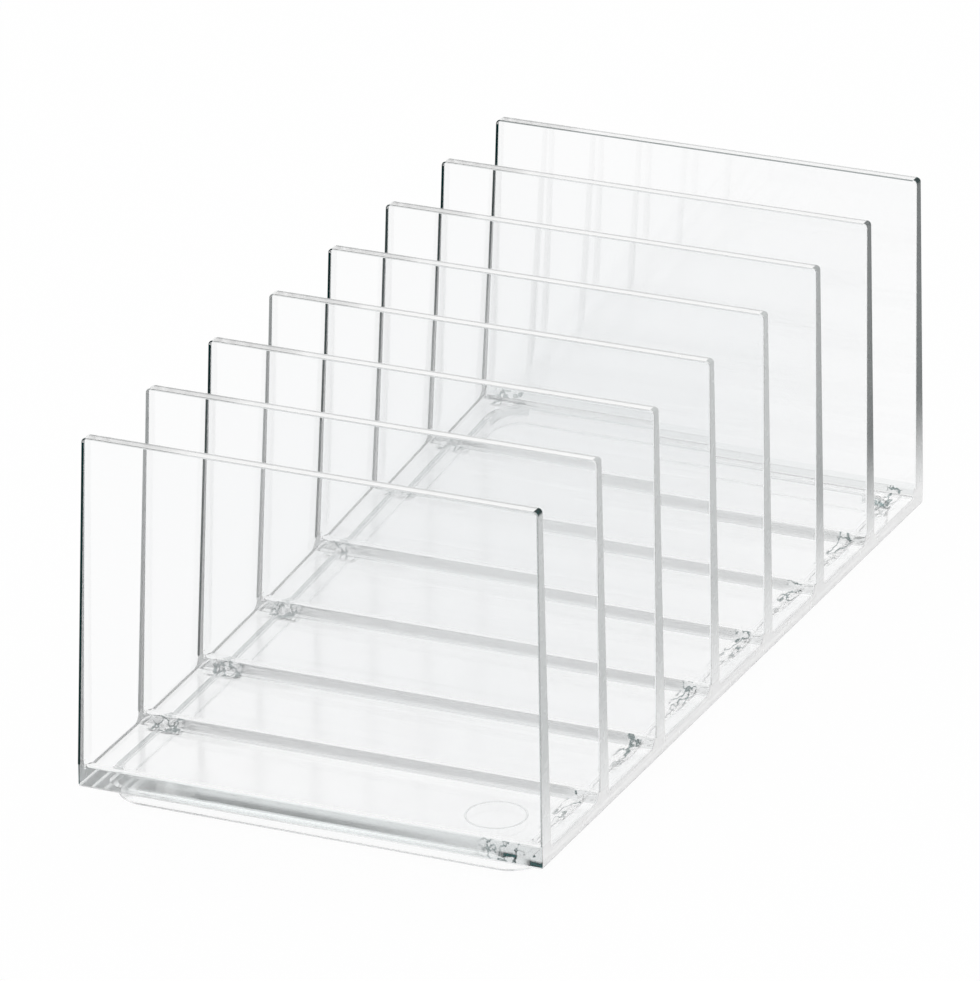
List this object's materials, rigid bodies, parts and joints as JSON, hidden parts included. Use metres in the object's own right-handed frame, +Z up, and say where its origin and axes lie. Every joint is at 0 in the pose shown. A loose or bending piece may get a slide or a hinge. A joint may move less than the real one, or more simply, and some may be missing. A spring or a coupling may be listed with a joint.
{
  "type": "vanity organizer",
  "caption": "Clear free-standing vanity organizer: upright tapered panels bonded in a row on a flat floor plate with an inset foot rim, leaving open-ended slots for palettes.",
  "frame": {"origin": "middle of the rack's underside, on the surface that the foot rim stands on", "axes": "+X across the slots, +Y along the row of panels from the front panel to the back panel, +Z up"},
  "size_m": [0.107, 0.222, 0.0834],
  "materials": {
    "base_plastic": "clear, polished",
    "panel_plastic": "clear, polished"
  },
  "bodies": {
    "root": {"base_plate": "base_plastic", "foot_rim": "base_plastic", "front_panel": "panel_plastic", "divider_1": "panel_plastic", "divider_2": "panel_plastic", "divider_3": "panel_plastic", "divider_4": "panel_plastic", "divider_5": "panel_plastic", "divider_6": "panel_plastic", "back_panel": "panel_plastic"}
  },
  "joints": []
}
